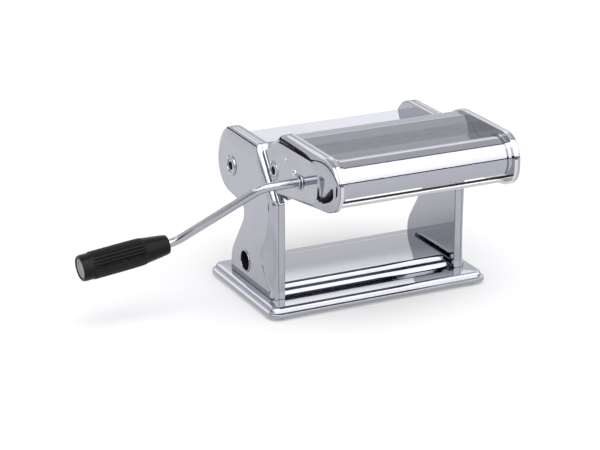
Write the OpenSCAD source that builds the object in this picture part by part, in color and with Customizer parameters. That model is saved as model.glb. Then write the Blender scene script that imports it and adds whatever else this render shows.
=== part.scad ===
// Hand-cranked pasta machine: a roller stand on a pressed base, with a lift-off twin cutter head.
// X runs along the rollers, the cutter head faces -Y, Z is up. The origin is on the table,
// midway between the two side towers and midway between the front and rear rims of the base.

/* [Base] */
// Half width of the base, along the rollers
base_half_x = 102; // [100:1:106]
// Half depth of the base
base_half_y = 64; // [62:1:70]
// Corner radius of the base
base_corner_r = 9; // [6:1:12]
// Height of the flat band of the base above the table
base_top_z = 11; // [11:0.5:11.5]
// Height of the raised middle of the base above the table
plateau_z = 20.5; // [18:0.5:22]

/* [Towers] */
// Distance from the middle to the inner face of each tower
tower_in_x = 80; // [80:0.1:80.2]
// Distance from the middle to the outer face of each tower
tower_out_x = 92; // [91.6:0.1:92.4]
// Height of the top of each tower
tower_top_z = 137.5; // [137:0.5:139]
// Radius of the clamp socket low in the left tower
clamp_r = 8.5; // [7:0.5:9]

/* [Sheet rollers] */
// Radius of the two smooth rollers
sheet_roller_r = 13; // [12:0.1:13.1]
// Gap between the smooth rollers at the finest setting
roller_gap = 0.4; // [0.3:0.1:0.8]
// How far the adjustable roller backs away at the coarsest setting
gap_travel = 2.6; // [1.5:0.1:2.6]

/* [Cutter head] */
// Half length of the cutting discs, which is half the width of the sheet they take
cut_half_x = 70; // [66:1:70]
// Radius of the cutting discs
disc_r = 12.6; // [12.2:0.1:12.7]
// Width of one wide ribbon
wide_cut = 6.6; // [5:0.1:8]
// Width of one narrow strand
narrow_cut = 2; // [2:0.1:3]
// Radius of the rounded front cover
cover_r = 17.2; // [16.8:0.1:17.4]

/* [Crank] */
// Radius of the crank's steel rod
rod_r = 3.6; // [3.2:0.1:3.6]
// Distance from the crank's axle to its handle
crank_throw = 92; // [80:1:92]
// Length of the crank's handle
grip_len = 77; // [65:1:80]
// Largest radius of the crank's handle
grip_r = 11.5; // [10:0.1:12]

/* [Hidden] */
$fn = 64;

// --- shared sizes -------------------------------------------------------------------------
sheet = 1.2;            // pressed steel sheet
gap = 0.4;              // air between the cutter head and the stand
running = 0.05;         // radial play of a shaft in its bearing
arc_step = 8;           // degrees between the points of a rounded corner

// Base: the skirt stands a little above the table, on rubber feet
skirt_z = 2.5;
foot_r = 8;
foot_at = [90, 52];
plateau_x = tower_in_x - 1.5;
plateau_y = 38;
base_screw_at = [84.2, 30];

// Towers: the frame and its cover are two pressed pans that meet rim to rim
seam_x = tower_in_x + 6;
cover_in_x = tower_out_x - sheet;
web_x = tower_in_x + 1.5;
tower_front_y = -44;
tower_rear_y = 40.8;
hook_line = [[tower_front_y, 95], [-11.5, tower_top_z]];

// Axes of the stand, each as [Y, Z]
drive_axis = [36, 105];
adjust_axis = [drive_axis.x - 2 * sheet_roller_r - roller_gap, drive_axis.y];
cam_axis = [-14, 105];
clamp_axis = [9.9, 28.3];
hook_rod = [-31, 103];
rear_rod = [54, 93];
scraper_rod = [22, 85];

// Axes of the cutter head, each as [Y, Z]
pair_gap = 24;
wide_axis = [-36.5, 121.5];
wide_mate = wide_axis + pair_gap * [-cos(43), sin(43)];
narrow_axis = [-84, 126];
narrow_mate = narrow_axis + pair_gap * [-cos(15), sin(15)];
cover_axis = [-120, 135];
lower_rod = [-66, 112];
front_rod = [-126, 117.5];

cap_out_x = 87;
cap_in_x = 79.6;
plate_in_x = 76.6;
core_r = pair_gap - disc_r - 0.2;
journal_r = 5;
socket_r = 3.8;
socket_deep = 16;

// Gears: straight-sided teeth with room between them
gear_teeth = 13;
sheet_gear_r = (2 * sheet_roller_r + roller_gap) / 2;
cutter_gear_r = pair_gap / 2;

// Crank: hub along the axle, a slanting arm, then the handle
hub_end_x = -120;
grip_start_x = -173;
grip_neck = 7;
arm_angle = 48.2;
crank_reach = crank_throw * [sin(arm_angle), -cos(arm_angle)];
grip_at = narrow_axis + crank_reach;
grip_dir = [-1, -0.03, -0.1] / norm([-1, -0.03, -0.1]);

// --- outlines ---------------------------------------------------------------------------
// Inward normal of the edge from a to b of an outline drawn anticlockwise
function inward(a, b) = [a.y - b.y, b.x - a.x] / norm(b - a);

// Corner b moved in from both of its edges by t
function inset_corner(a, b, c, t) =
    let (m = inward(a, b), n = inward(b, c))
    b + t * (m + n) / (1 + m * n);

// Points of the arc of radius r that rounds corner b
function corner_arc(a, b, c, r) =
    r <= 0 ? [b] :
    let (
        u = (a - b) / norm(a - b),
        v = (c - b) / norm(c - b),
        half = acos(u * v) / 2,
        centre = b + (u + v) / norm(u + v) * r / sin(half),
        first = b + u * r / tan(half) - centre,
        sweep = sign(cross(b - a, c - b)) * (180 - 2 * half),
        start = atan2(first.y, first.x),
        steps = max(2, ceil(abs(sweep) / arc_step))
    )
    [for (i = [0 : steps]) centre + r * [cos(start + sweep * i / steps), sin(start + sweep * i / steps)]];

// Outline through corners [y, z, radius], moved inward by t, with every corner rounded
function outline(corners, t = 0) =
    let (
        n = len(corners),
        p = [for (c = corners) [c.x, c.y]],
        q = [for (i = [0 : n - 1]) inset_corner(p[(i + n - 1) % n], p[i], p[(i + 1) % n], t)],
        bend = [for (i = [0 : n - 1]) sign(cross(p[i] - p[(i + n - 1) % n], p[(i + 1) % n] - p[i]))]
    )
    [for (i = [0 : n - 1]) each corner_arc(
        q[(i + n - 1) % n], q[i], q[(i + 1) % n],
        corners[i].z <= 0 ? 0 : max(0.5, corners[i].z - bend[i] * t))];

// Side view of a tower: foot, waist, round head, and the slanted nose that the cutter head hooks on
head_r = (tower_top_z - 79.5) / 2 - 0.1;
tower_corners = [
    [tower_front_y, base_top_z, 0],
    [tower_rear_y, base_top_z, 0],
    [tower_rear_y, 29, 28],
    [14.5, 67, 18],
    [14.5, 79.5, 5],
    [67, 79.5, head_r],
    [67, tower_top_z, head_r],
    [hook_line[1].x, hook_line[1].y, 3],
    [hook_line[0].x, hook_line[0].y, 10]
];

// Side view of the cutter head's end caps; their rear edge lies along the tower's nose
nose_dir = (hook_line[1] - hook_line[0]) / norm(hook_line[1] - hook_line[0]);
nose_out = [-nose_dir.y, nose_dir.x];
nose_point = hook_line[0] + gap * nose_out;
function on_nose(z) = nose_point + nose_dir * (z - nose_point.y) / nose_dir.y;
cap_low = on_nose(102);
cap_high = on_nose(134);
cap_corners = [
    [-141, 114.2, 19],
    [cap_low.x, cap_low.y, 3],
    [cap_high.x, cap_high.y, 1.5],
    [-48, 156, 28],
    [-141, 156, 21]
];

// --- building blocks ----------------------------------------------------------------------
// Extrude a [Y, Z] outline from x0 to x1
module along_x(x0, x1) {
    translate([x0, 0, 0]) rotate([90, 0, 90]) linear_extrude(x1 - x0) children();
}

// Round bar along X at [y, z]
module bar(x0, x1, at, r) {
    translate([x0, at.x, at.y]) rotate([0, 90, 0]) cylinder(h = x1 - x0, r = r);
}

// Washer-shaped bar along X
module tube(x0, x1, at, r, bore) {
    difference() {
        bar(x0, x1, at, r);
        bar(x0 - 1, x1 + 1, at, bore);
    }
}

// Put a child made for the left side on the right side
module on_right() {
    mirror([1, 0, 0]) children();
}

// Flat rectangle with round corners
module rounded_plate(half_x, half_y, r, h) {
    linear_extrude(h) union() {
        square([2 * half_x - 2 * r, 2 * half_y], center = true);
        square([2 * half_x, 2 * half_y - 2 * r], center = true);
        for (sx = [-1, 1], sy = [-1, 1])
            translate([sx * (half_x - r), sy * (half_y - r)]) circle(r = r);
    }
}

// Bent sheet: a strip of thickness t along a path of [y, z] points
function strip(path, t) =
    let (
        n = len(path),
        dir = [for (i = [0 : n - 2]) (path[i + 1] - path[i]) / norm(path[i + 1] - path[i])],
        side = [for (i = [0 : n - 1])
            let (
                a = dir[max(0, i - 1)],
                b = dir[min(n - 2, i)],
                m = [-a.y, a.x],
                k = [-b.y, b.x]
            )
            (m + k) / (1 + m * k)]
    )
    concat(
        [for (i = [0 : n - 1]) path[i] + side[i] * t / 2],
        [for (i = [n - 1 : -1 : 0]) path[i] - side[i] * t / 2]);

// Gear of pitch radius pr, with one tooth turned to the angle at
module gear(x0, x1, axis, pr, bore, at) {
    pitch = 360 / gear_teeth;
    tip = pr + 1.5;
    root = pr - 2.1;
    points = [for (i = [0 : gear_teeth - 1]) each
        [for (c = [[root, -0.30], [tip, -0.105], [tip, 0.105], [root, 0.30]])
            c.x * [cos(at + (i + c.y) * pitch), sin(at + (i + c.y) * pitch)]]];
    difference() {
        along_x(x0, x1) translate(axis) polygon(points);
        bar(x0 - 1, x1 + 1, axis, bore);
    }
}

// Hexagon nut along X
module nut(x0, x1, at, r, bore) {
    difference() {
        along_x(x0, x1) translate(at) circle(r = r, $fn = 6);
        bar(x0 - 1, x1 + 1, at, bore);
    }
}

// --- base ---------------------------------------------------------------------------------
plateau_outline = [
    [-plateau_y, base_top_z - 0.5],
    [-plateau_y, base_top_z],
    [-plateau_y + 1.5, base_top_z + 4],
    [-plateau_y + 5, base_top_z + 4.6],
    [-plateau_y + 6.5, plateau_z - 1.4],
    [-plateau_y + 10, plateau_z - 0.8],
    [0, plateau_z],
    [plateau_y - 10, plateau_z - 0.8],
    [plateau_y - 6.5, plateau_z - 1.4],
    [plateau_y - 5, base_top_z + 4.6],
    [plateau_y - 1.5, base_top_z + 4],
    [plateau_y, base_top_z],
    [plateau_y, base_top_z - 0.5]
];

module base_plate() color("gainsboro") difference() {
    union() {
        translate([0, 0, skirt_z])
            rounded_plate(base_half_x, base_half_y, base_corner_r, 4.5);
        translate([0, 0, skirt_z + 4.5])
            rounded_plate(base_half_x - 1.5, base_half_y - 1.5, base_corner_r - 1, base_top_z - skirt_z - 4.5);
        along_x(-plateau_x, plateau_x) polygon(plateau_outline);
    }
    translate([0, 0, skirt_z - 1])
        rounded_plate(base_half_x - 3, base_half_y - 3, base_corner_r - 2, base_top_z - 1.5 - skirt_z + 1);
    along_x(-plateau_x + 1.5, plateau_x - 1.5) polygon([
        [-plateau_y + 3.5, base_top_z - 2],
        [-plateau_y + 8.5, plateau_z - 3.2],
        [0, plateau_z - 2],
        [plateau_y - 8.5, plateau_z - 3.2],
        [plateau_y - 3.5, base_top_z - 2]
    ]);
    for (sx = [-1, 1], sy = [-1, 1])
        translate([sx * base_screw_at.x, sy * base_screw_at.y, 0]) cylinder(h = 20, r = 1.6);
}

// Four rubber feet under the corners, each recessed for its screw
module rubber_feet() color("#1b1b1d") for (sx = [-1, 1], sy = [-1, 1])
    translate([sx * foot_at.x, sy * foot_at.y, 0]) difference() {
        cylinder(h = base_top_z - 1.5, r1 = foot_r - 0.8, r2 = foot_r - 0.1);
        translate([0, 0, -1]) cylinder(h = 4.5, r = 3.7);
        cylinder(h = 12, r = 2);
    }

module foot_screws() color("silver") for (sx = [-1, 1], sy = [-1, 1])
    translate([sx * foot_at.x, sy * foot_at.y, 0]) union() {
        translate([0, 0, 1.7]) cylinder(h = 1.8, r = 3.5);
        translate([0, 0, 3]) cylinder(h = base_top_z - 1.5 - 3, r = 1.9);
    }

// Screws that hold the towers down to the base, from below
module base_screws() color("silver") for (sx = [-1, 1], sy = [-1, 1])
    translate([sx * base_screw_at.x, sy * base_screw_at.y, base_top_z - 1.5]) union() {
        translate([0, 0, -1.6]) cylinder(h = 1.6, r = 2.8);
        cylinder(h = 7, r = 1.5);
    }

module base_nuts() color("silver") for (sx = [-1, 1], sy = [-1, 1])
    translate([sx * base_screw_at.x, sy * base_screw_at.y, base_top_z + 1.5]) difference() {
        cylinder(h = 2.4, r = 2.6, $fn = 6);
        translate([0, 0, -1]) cylinder(h = 5, r = 1.55);
    }

// --- towers -------------------------------------------------------------------------------
// Inner pressed pan of a tower, drawn for the left side
module side_frame() difference() {
    along_x(-seam_x, -tower_in_x) polygon(outline(tower_corners));
    along_x(-seam_x - 1, -web_x) polygon(outline(tower_corners, 1.5));
    bar(-web_x - 1, -tower_in_x + 1, drive_axis, 7);
    bar(-web_x - 1, -tower_in_x + 1, adjust_axis, journal_r + 0.4);
    bar(-web_x - 1, -tower_in_x + 1, adjust_axis - [gap_travel, 0], journal_r + 0.4);
    translate([-web_x - 1, adjust_axis.x - gap_travel, adjust_axis.y - journal_r - 0.4])
        cube([3.5, gap_travel, 2 * journal_r + 0.8]);
    bar(-web_x - 1, -tower_in_x + 1, cam_axis, 3.6);
    for (at = [hook_rod, rear_rod, scraper_rod]) bar(-web_x - 1, -tower_in_x + 1, at, 2.2);
    for (sy = [-1, 1])
        translate([-base_screw_at.x, sy * base_screw_at.y, base_top_z - 1]) cylinder(h = 3, r = 1.6);
}
module side_frame_left() color("lightgray") side_frame();
module side_frame_right() color("lightgray") on_right() side_frame();

// Outer pressed pan of a tower, drawn for the left side
module side_cover() difference() {
    along_x(-tower_out_x, -seam_x) polygon(outline(tower_corners));
    along_x(-cover_in_x, -seam_x + 1) polygon(outline(tower_corners, sheet));
}
module side_cover_left() color("silver") difference() {
    side_cover();
    bar(-tower_out_x - 1, -seam_x, drive_axis, 7.6);
    bar(-tower_out_x - 1, -seam_x, clamp_axis, clamp_r + 0.9);
}
module side_cover_right() color("silver") difference() {
    on_right() side_cover();
    bar(seam_x, tower_out_x + 1, cam_axis, 3.6);
    for (at = cover_screw_at) bar(seam_x, tower_out_x + 1, at, 1.6);
}

// Two screws that hold the right cover
cover_screw_at = [[14, 66], [-32, 66]];
module cover_screws() color("silver") for (at = cover_screw_at) union() {
    bar(tower_out_x, tower_out_x + 1.2, at, 3);
    bar(tower_out_x - 6, tower_out_x, at, 1.5);
}

// Blind steel cup that takes the peg of the table clamp
module clamp_socket() color("dimgray") difference() {
    union() {
        bar(-tower_out_x - 0.8, -tower_out_x, clamp_axis, clamp_r + 1.6);
        bar(-tower_out_x, -web_x, clamp_axis, clamp_r + 0.8);
    }
    bar(-tower_out_x - 2, -web_x - 1, clamp_axis, clamp_r);
}

// Bushing in the left cover, where the crank goes in to drive the smooth rollers
module crank_bushing() color("gainsboro") difference() {
    union() {
        bar(-tower_out_x - 1.8, -tower_out_x, drive_axis, 9.1);
        bar(-tower_out_x, -cover_in_x + 0.8, drive_axis, 7.5);
    }
    bar(-tower_out_x - 3, -cover_in_x + 2, drive_axis, journal_r + 0.3);
}

// Three rods that hold the towers apart; the front one is what the cutter head hooks over
module tie_rods() color("lightsteelblue") for (at = [hook_rod, rear_rod, scraper_rod]) union() {
    bar(-tower_in_x, tower_in_x, at, 3);
    bar(-web_x - 3.5, web_x + 3.5, at, 2.1);
}

module tie_rod_nuts() color("silver") for (at = [hook_rod, rear_rod, scraper_rod]) {
    nut(-web_x - 3, -web_x, at, 3.8, 2.15);
    nut(web_x, web_x + 3, at, 3.8, 2.15);
}

// --- roller guards and inner parts of the stand --------------------------------------------
// Bright guard behind the drive roller: slopes down to the nip and wraps over the rear
module rear_top_panel() color("whitesmoke") along_x(-tower_in_x, tower_in_x) polygon(strip([
    [26, 116.4], [30, 119], [36, 120.4], [60, 124], [62.6, 122.6], [63.4, 119], [63.4, 104], [60, 96.4]
], sheet));

// Guard in front of the adjustable roller
module front_top_panel() color("whitesmoke") along_x(-tower_in_x, tower_in_x) polygon(strip([
    [19.6, 116.4], [15.6, 119], [9.6, 120.4], [-10, 128.4], [-14.5, 127.6], [-16, 124]
], sheet));

// Two plastic blades on the lower rod that keep dough from following the rollers round
module roller_scrapers() color("#e9e6dc") difference() {
    along_x(-tower_in_x + 1, tower_in_x - 1) polygon([
        [17, 81.5], [27, 81.5], [27, 87.5], [31, 91.2], [30.2, 92], [24.5, 88.5],
        [19.5, 88.5], [15.2, 91.2], [14.4, 90.6], [17, 87.5]
    ]);
    bar(-tower_in_x, tower_in_x, scraper_rod, 3);
}

// Flanged bronze bushings in the frames for the drive roller
module drive_bushings() color("peru") {
    drive_bushing();
    on_right() drive_bushing();
}
module drive_bushing() difference() {
    union() {
        bar(-web_x, -tower_in_x + 0.3, drive_axis, 6.95);
        bar(-web_x - 1.5, -web_x, drive_axis, 8.5);
    }
    bar(-web_x - 3, -tower_in_x + 2, drive_axis, journal_r + running);
}

// Plate round the adjuster knob, with a curved slot that the knob's pin travels in
pin_ring = 12;
slot_half = 1.7;
module dial_plate() color("white") difference() {
    bar(tower_out_x, tower_out_x + 1, cam_axis, 19.5);
    bar(tower_out_x - 1, tower_out_x + 2, cam_axis, 3.6);
    along_x(tower_out_x - 1, tower_out_x + 2) translate(cam_axis) polygon([
        for (i = [0 : 34]) (pin_ring + slot_half) * [cos(i * 8.4 - 8), sin(i * 8.4 - 8)],
        for (i = [34 : -1 : 0]) (pin_ring - slot_half) * [cos(i * 8.4 - 8), sin(i * 8.4 - 8)]
    ]);
}

// --- smooth rollers ---------------------------------------------------------------------------
module drive_roller() color("silver") difference() {
    union() {
        bar(-tower_in_x + 0.6, tower_in_x - 0.6, drive_axis, sheet_roller_r);
        bar(-tower_out_x - 0.8, web_x + 3, drive_axis, journal_r);
    }
    bar(-tower_out_x - 2, -tower_out_x - 0.8 + socket_deep, drive_axis, socket_r);
}

module drive_gear() color("goldenrod")
    gear(-cover_in_x + 0.9, -seam_x - 0.6, drive_axis, sheet_gear_r, journal_r, 180);

module bearing_block() difference() {
    union() {
        translate([-seam_x + 0.4, adjust_axis.x - 8, adjust_axis.y - 8]) cube([seam_x - web_x - 0.6, 16, 16]);
        translate([-seam_x + 0.4, cam_axis.x + cam_r + 0.25, cam_axis.y - 3])
            cube([seam_x - web_x - 0.6, adjust_axis.x - 8 - cam_axis.x - cam_r - 0.25 + 0.5, 6]);
    }
    bar(-seam_x - 1, -web_x + 1, adjust_axis, journal_r + running);
}
module bearing_blocks() color("peru") {
    bearing_block();
    on_right() bearing_block();
}

module adjustable_roller() color("silver") union() {
    bar(-tower_in_x + 0.6, tower_in_x - 0.6, adjust_axis, sheet_roller_r);
    bar(-cover_in_x + 0.7, seam_x - 0.3, adjust_axis, journal_r);
}

// Half a tooth pitch round from the drive gear, so that a gap faces its tooth
module adjustable_gear() color("goldenrod")
    gear(-cover_in_x + 0.9, -seam_x - 0.6, adjust_axis, sheet_gear_r, journal_r, 180 / gear_teeth);

// --- gap adjuster -------------------------------------------------------------------------------
cam_r = 10.4;
cam_turn = 270;
cam_steps = 45;

// Snail cams: the radius shrinks steadily over the turn of the knob, then rises back
function cam_radius(a) = a <= cam_turn
    ? cam_r - gap_travel * a / cam_turn
    : cam_r - gap_travel * (360 - a) / (360 - cam_turn);
module snail_cam(x0, x1) difference() {
    along_x(x0, x1) translate(cam_axis) polygon([for (i = [0 : cam_steps - 1])
        let (a = 360 * i / cam_steps)
        cam_radius(a) * [cos(-a), sin(-a)]]);
    bar(x0 - 1, x1 + 1, cam_axis, 3.5);
}
module adjuster_cams() color("silver") {
    snail_cam(-web_x - 3.7, -web_x - 0.4);
    snail_cam(web_x + 0.4, web_x + 3.7);
}

module adjuster_shaft() color("lightsteelblue") union() {
    bar(-web_x - 4, tower_out_x + 2, cam_axis, 3.5);
    bar(tower_out_x + 2, tower_out_x + 13, cam_axis, 2.6);
    bar(tower_out_x + 13, tower_out_x + 14, cam_axis, 4.5);
}

// Knob that is pulled out against a spring, turned, and let back in
knob_x = tower_out_x + 2.2;
knob_r = 17;
module adjuster_knob() color("#1b1b1d") difference() {
    union() {
        bar(knob_x, knob_x + 17, cam_axis, knob_r - 1.5);
        bar(knob_x, knob_x + 3, cam_axis, knob_r);
        for (i = [0 : 11])
            bar(knob_x + 1, knob_x + 15.5, cam_axis + (knob_r - 2.3) * [cos(i * 30), sin(i * 30)], 2);
    }
    bar(knob_x - 1, knob_x + 20, cam_axis, 2.65);
    bar(knob_x + 3, knob_x + 20, cam_axis, 5.8);
    bar(knob_x - 1, knob_x + 6, cam_axis + [pin_ring, 0], 1.4);
}

// Spring between the knob's floor and the head of the shaft
module knob_spring() color("gray") difference() {
    bar(knob_x + 3.1, tower_out_x + 12.9, cam_axis, 4.6);
    bar(knob_x, tower_out_x + 16, cam_axis, 3.2);
}

module knob_pin() color("silver") bar(tower_out_x + 0.2, knob_x + 6, cam_axis + [pin_ring, 0], 1.4);

// --- cutter head: caps and plates -----------------------------------------------------------
// End cap, drawn for the left side
module cutter_cap() difference() {
    along_x(-cap_out_x, -cap_in_x) polygon(outline(cap_corners));
    along_x(-cap_out_x + sheet, -cap_in_x + 1) polygon(outline(cap_corners, sheet));
}
rivet_at = [-75, 131];
dimple_at = [-58.5, 137.2];
module cutter_cap_left() color("silver") difference() {
    cutter_cap();
    bar(-cap_out_x - 1, -cap_out_x + 3, wide_axis, 6.9);
    bar(-cap_out_x - 1, -cap_out_x + 3, narrow_axis, 5.9);
}
module cutter_cap_right() color("silver") on_right() cutter_cap();

// End plate with the bearings and the tongue that hooks over the front rod
hook_r = 3.2;
module cutter_frame() difference() {
    along_x(-cap_in_x, -plate_in_x) union() {
        polygon(outline(cap_corners));
        polygon([
            [-56, 104], [-46, 97.5], [-23, 97.5], [-22, 100],
            [-22, 122], [cap_high.x, cap_high.y - 1], [-40, 130], [-56, 110]
        ]);
    }
    bar(-cap_in_x - 1, -plate_in_x + 1, hook_rod, hook_r);
    translate([-cap_in_x - 1, hook_rod.x - hook_r, 90]) cube([5, 2 * hook_r, hook_rod.y - 90]);
    for (at = [wide_axis, wide_mate, narrow_axis, narrow_mate])
        bar(-cap_in_x - 1, -plate_in_x + 1, at, journal_r + running);
    for (at = [lower_rod, front_rod]) bar(-cap_in_x - 1, -plate_in_x + 1, at, 1.8);
}
module cutter_frame_left() color("gray") cutter_frame();
module cutter_frame_right() color("gray") on_right() cutter_frame();

// --- cutter head: cover, collars and guides -------------------------------------------------
// Arc of sheet round the cover axis, from the lower lip over the front to the feed lip
cover_low = -38;
cover_high = 118;
module cover_arc(r, t) {
    steps = 26;
    angles = [for (i = [0 : steps]) 180 - cover_low - (cover_high - cover_low) * i / steps];
    translate(cover_axis) polygon(concat(
        [for (a = angles) r * [cos(a), sin(a)]],
        [for (i = [steps : -1 : 0]) (r - t) * [cos(angles[i]), sin(angles[i])]]));
}
collar_x = plate_in_x - 4;
module cutter_front_cover() color("gainsboro") along_x(-collar_x, collar_x) cover_arc(cover_r, sheet);
module cutter_collars() color("silver") {
    along_x(-plate_in_x, -collar_x) cover_arc(cover_r + 1.4, 2.6);
    along_x(collar_x, plate_in_x) cover_arc(cover_r + 1.4, 2.6);
}

// Folded sheet between the two throats
module cutter_centre_guide() color("gainsboro") along_x(-plate_in_x, plate_in_x) polygon(strip([
    [-91, 139.8], [-80, 142.6], [-70, 149.6], [-61, 153.2], [-49, 153.2], [-40, 148.5]
], sheet));

// Sheet that leads the dough into the wide cutter
module cutter_rear_guide() color("gainsboro") along_x(-plate_in_x, plate_in_x) polygon(strip([
    [-19, 139.5], [-28, 137.2], [-38, 136.4]
], sheet));

module cutter_rods() color("lightsteelblue") for (at = [lower_rod, front_rod]) union() {
    bar(-plate_in_x, plate_in_x, at, 2.5);
    bar(-cap_in_x - 2, cap_in_x + 2, at, 1.8);
}

// Comb bars under the cutters, with teeth that reach between the discs
module comb(axis, lean, cut, first) {
    foot = axis + [lean, 0];
    along_x(-plate_in_x, plate_in_x)
        translate(foot + [-2, -disc_r - 4.4]) square([4, 3.4]);
    for (x = [-cut_half_x + first * cut : 2 * cut : cut_half_x - cut + 0.01])
        along_x(x + 0.35, x + cut - 0.35)
            translate(foot + [-0.7, -disc_r - 1.2]) square([1.4, disc_r + 1.2 - core_r - 0.6]);
}
module cutter_combs() color("#1b1b1d") {
    comb(wide_axis, -3, wide_pitch, 1);
    comb(wide_mate, 1, wide_pitch, 0);
    comb(narrow_axis, 0, narrow_pitch, 1);
    comb(narrow_mate, 0, narrow_pitch, 0);
}

// Rolled rings in the left cap where the crank goes in
module socket_grommets() color("gainsboro") {
    grommet(wide_axis, 8, 6.8);
    grommet(narrow_axis, 6.8, 5.8);
}
module grommet(at, flange, neck) difference() {
    union() {
        bar(-cap_out_x - 1, -cap_out_x, at, flange);
        bar(-cap_out_x, -cap_out_x + sheet + 0.6, at, neck);
    }
    bar(-cap_out_x - 2, -cap_out_x + 4, at, journal_r + 0.4);
}

module cap_rivets() color("silver") {
    rivet_pair();
    on_right() rivet_pair();
}
module rivet_pair() {
    tube(-cap_out_x - 0.8, -cap_out_x, rivet_at, 3.2, 1.6);
    bar(-cap_out_x - 0.5, -cap_out_x, dimple_at, 1.8);
}

// --- cutters --------------------------------------------------------------------------------
// The discs of one roller of a pair sit in the grooves of the other
wide_pitch = 2 * cut_half_x / (2 * ceil(cut_half_x / wide_cut - 0.5) + 1);
narrow_pitch = 2 * cut_half_x / (2 * round(cut_half_x / narrow_cut) + 1);
disc_play = 0.12;

// Half outline of a grooved roller for turning, as [radius, x]
function grooved(cut, first) = concat(
    [[0, -cut_half_x], [core_r, -cut_half_x]],
    [for (x = [-cut_half_x + first * cut : 2 * cut : cut_half_x - cut + 0.01]) each
        [[core_r, x + disc_play], [disc_r, x + disc_play],
         [disc_r, x + cut - disc_play], [core_r, x + cut - disc_play]]],
    [[core_r, cut_half_x], [0, cut_half_x]]);

module cutter_roller(axis, cut, first, left_x) union() {
    translate([0, axis.x, axis.y]) rotate([0, 90, 0]) rotate([0, 0, 90])
        rotate_extrude() polygon(grooved(cut, first));
    bar(left_x, cap_in_x + 1.5, axis, journal_r);
}
module driven_socket(axis) {
    bar(-cap_out_x - 2, -cap_out_x + 1 + socket_deep, axis, socket_r);
}
module wide_drive_cutter() color("silver") difference() {
    cutter_roller(wide_axis, wide_pitch, 0, -cap_out_x - 0.5);
    driven_socket(wide_axis);
}
module wide_driven_cutter() color("silver") cutter_roller(wide_mate, wide_pitch, 1, -cap_in_x - 1.5);
module narrow_drive_cutter() color("silver") difference() {
    cutter_roller(narrow_axis, narrow_pitch, 0, -cap_out_x - 0.5);
    driven_socket(narrow_axis);
}
module narrow_driven_cutter() color("silver") cutter_roller(narrow_mate, narrow_pitch, 1, -cap_in_x - 1.5);

gear_x = cut_half_x + 1;
module wide_drive_gear() color("goldenrod")
    gear(gear_x, gear_x + 4.5, wide_axis, cutter_gear_r, journal_r, 180 - 43);
module wide_driven_gear() color("goldenrod")
    gear(gear_x, gear_x + 4.5, wide_mate, cutter_gear_r, journal_r, -43 + 180 / gear_teeth);
module narrow_drive_gear() color("goldenrod")
    gear(gear_x, gear_x + 4.5, narrow_axis, cutter_gear_r, journal_r, 180 - 15);
module narrow_driven_gear() color("goldenrod")
    gear(gear_x, gear_x + 4.5, narrow_mate, cutter_gear_r, journal_r, -15 + 180 / gear_teeth);

// --- crank ------------------------------------------------------------------------------------
// Turn local z to point along d
module aim(d) {
    rotate([0, acos(d.z / norm(d)), atan2(d.y, d.x)]) children();
}

// Frame of the handle: local z runs out along the handle from its inner end
module at_grip(along = 0) {
    translate(grip_a + along * grip_dir) aim(grip_dir) children();
}

// Straight rod between two points in space
module rod(a, b, r) {
    translate(a) aim(b - a) cylinder(h = norm(b - a), r = r);
}
hub_a = [-cap_out_x + 15, narrow_axis.x, narrow_axis.y];
hub_b = [hub_end_x, narrow_axis.x, narrow_axis.y];
grip_a = [grip_start_x, grip_at.x, grip_at.y];
arm_b = grip_a - grip_neck * grip_dir;
knuckle_r = rod_r + 0.1;
module crank_rod() color("silver") union() {
    rod(hub_a, hub_b, rod_r);
    translate(hub_b) sphere(r = knuckle_r);
    rod(hub_b, arm_b, rod_r);
    translate(arm_b) sphere(r = knuckle_r);
    rod(arm_b, grip_a - 0.5 * grip_dir, rod_r);
    at_grip(-1) cylinder(h = grip_len - 4.5, r = rod_r - 0.4);
    at_grip(grip_len - 6) cylinder(h = 1.4, r = rod_r + 1.2);
}

module crank_ferrule() color("silver") tube(-cap_out_x - 3.4, -cap_out_x - 1.3, narrow_axis, 6.2, rod_r);

// Round handle that spins on the rod: a slim neck, a swelling, and a stepped outer end
neck_len = 22;
module crank_grip() color("#161618") at_grip() difference() {
    rotate_extrude() polygon([
        [rod_r - 0.3, 0], [8, 0], [8.6, 1.2], [9.4, 8], [10.4, 16], [grip_r - 0.2, neck_len],
        [grip_r, neck_len + 8], [grip_r, grip_len - 9.5], [grip_r - 0.6, grip_len - 8.4],
        [grip_r - 0.5, grip_len - 1.6], [grip_r - 1.4, grip_len], [8.2, grip_len],
        [8.2, grip_len - 3], [5.6, grip_len - 3], [5.6, grip_len - 6.4], [rod_r - 0.3, grip_len - 6.4]
    ]);
}

// Grey ring and dark plug that close the handle's outer end
module grip_cap() color("#55565a") at_grip(grip_len - 3) cylinder(h = 2.2, r = 8.15);
module grip_washer() color("silver") at_grip(grip_len - 4.5) difference() {
    cylinder(h = 1.2, r = 5.4);
    translate([0, 0, -1]) cylinder(h = 4, r = 1.5);
}

// --- assembly ---------------------------------------------------------------------------------
base_plate();
rubber_feet();
foot_screws();
base_screws();
base_nuts();
side_frame_left();
side_frame_right();
side_cover_left();
side_cover_right();
cover_screws();
clamp_socket();
crank_bushing();
tie_rods();
tie_rod_nuts();
rear_top_panel();
front_top_panel();
roller_scrapers();
drive_bushings();
dial_plate();
drive_roller();
drive_gear();
bearing_blocks();
adjustable_roller();
adjustable_gear();
adjuster_shaft();
adjuster_cams();
adjuster_knob();
knob_spring();
knob_pin();
cutter_cap_left();
cutter_cap_right();
cutter_frame_left();
cutter_frame_right();
cutter_front_cover();
cutter_collars();
cutter_centre_guide();
cutter_rear_guide();
cutter_rods();
cutter_combs();
socket_grommets();
cap_rivets();
wide_drive_cutter();
wide_driven_cutter();
wide_drive_gear();
wide_driven_gear();
narrow_drive_cutter();
narrow_driven_cutter();
narrow_drive_gear();
narrow_driven_gear();
crank_rod();
crank_ferrule();
crank_grip();
grip_cap();
grip_washer();
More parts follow.
